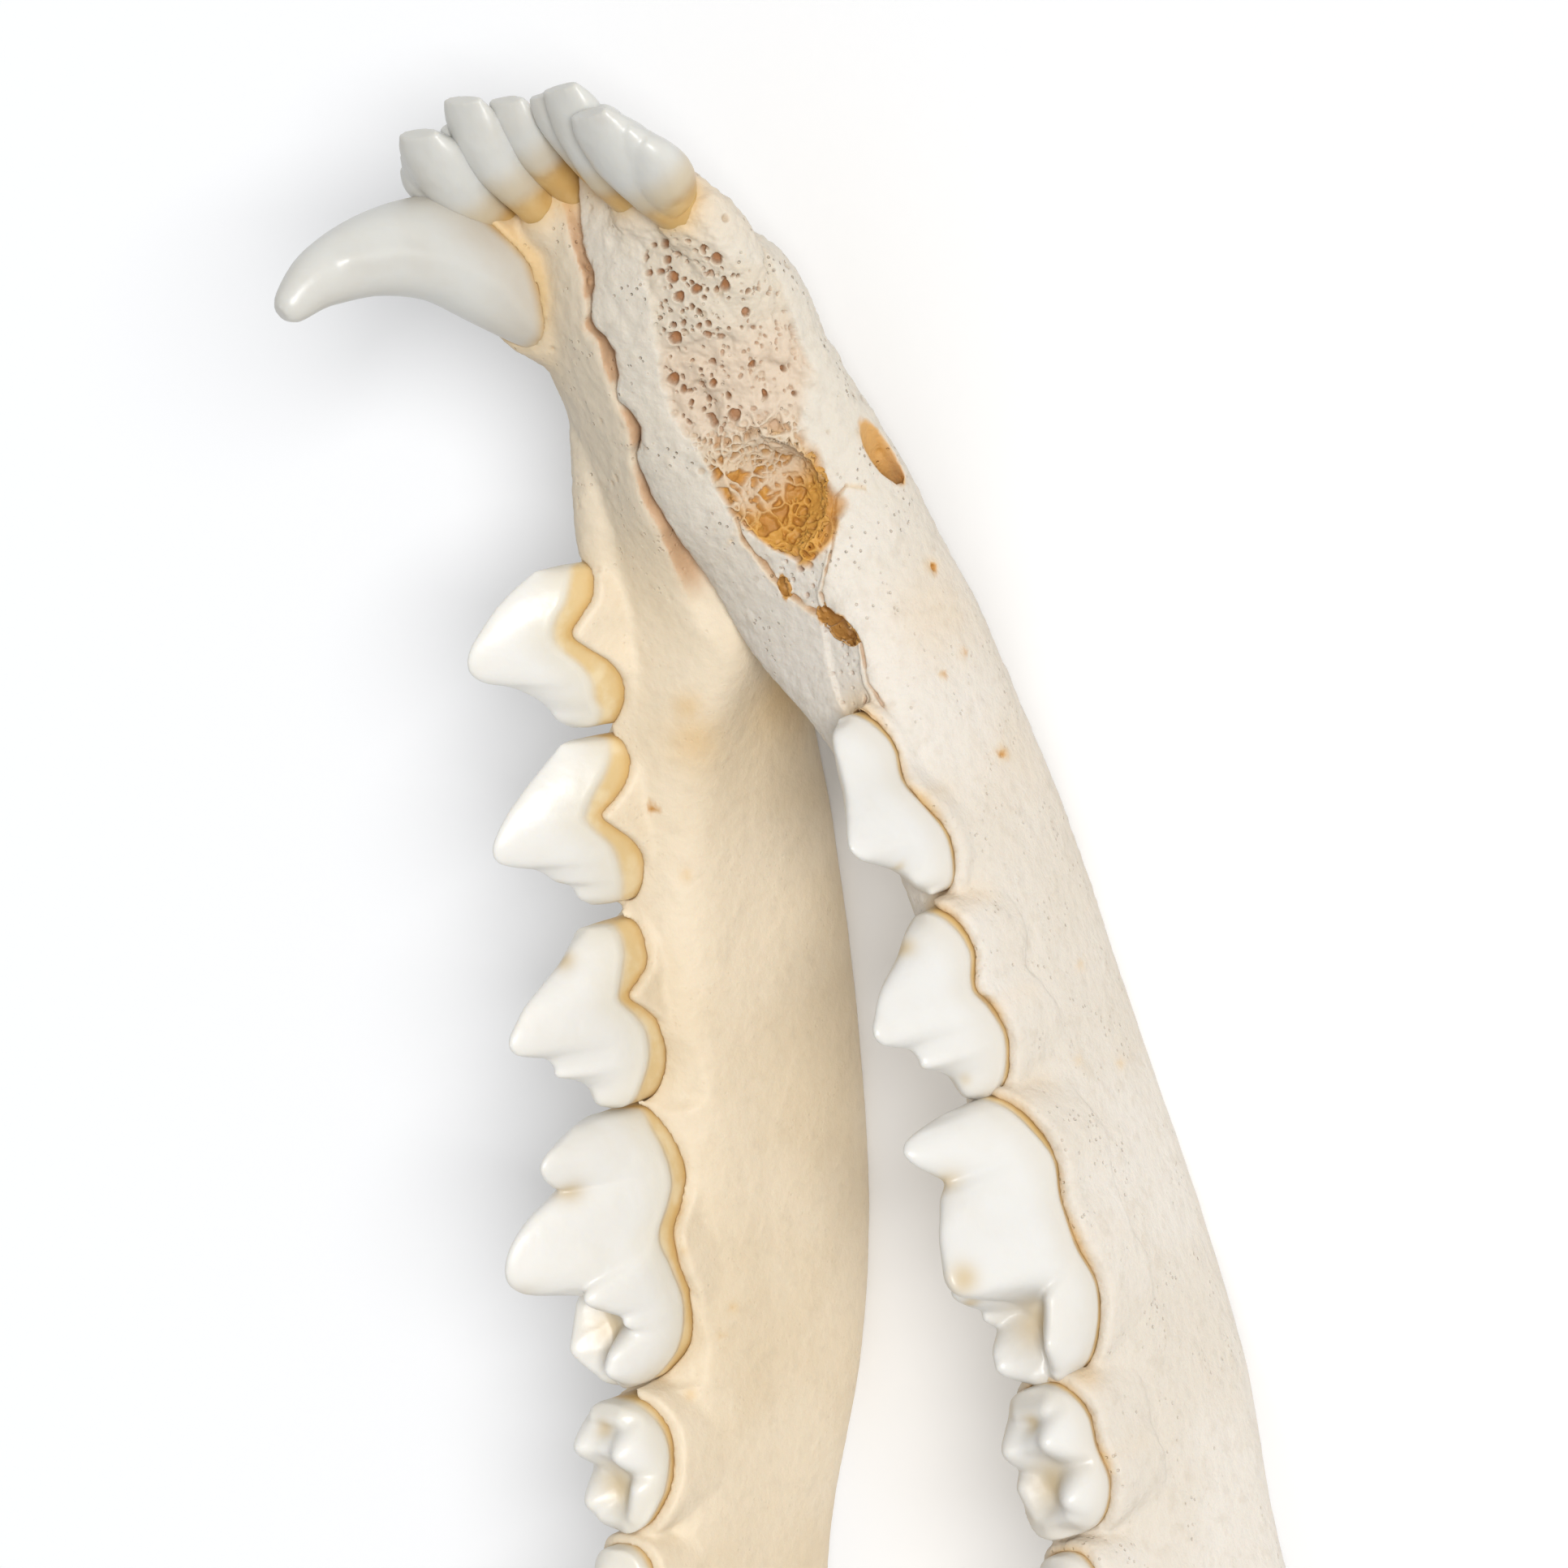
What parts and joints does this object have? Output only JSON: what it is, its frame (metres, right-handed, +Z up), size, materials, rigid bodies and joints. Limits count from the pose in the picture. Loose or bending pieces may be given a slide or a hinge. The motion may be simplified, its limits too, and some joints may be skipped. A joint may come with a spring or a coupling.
{
  "type": "fox lower jaw",
  "caption": "Lower jaw of a red fox at life size, cleaned bone with its teeth, one fang in place and the other socket open.",
  "frame": {"origin": "on the surface it rests on, below the middle of the jaw's box", "axes": "+X towards the incisors, +Y towards the animal's left, +Z up from the lower border to the teeth"},
  "size_m": [0.1112, 0.0578, 0.0406],
  "materials": {
    "bone": "dry, faintly porous bone",
    "enamel": "soft gloss tooth enamel"
  },
  "bodies": {
    "root": {"left_dentary": "bone", "right_dentary": "bone", "left_canine": "enamel"}
  },
  "joints": []
}
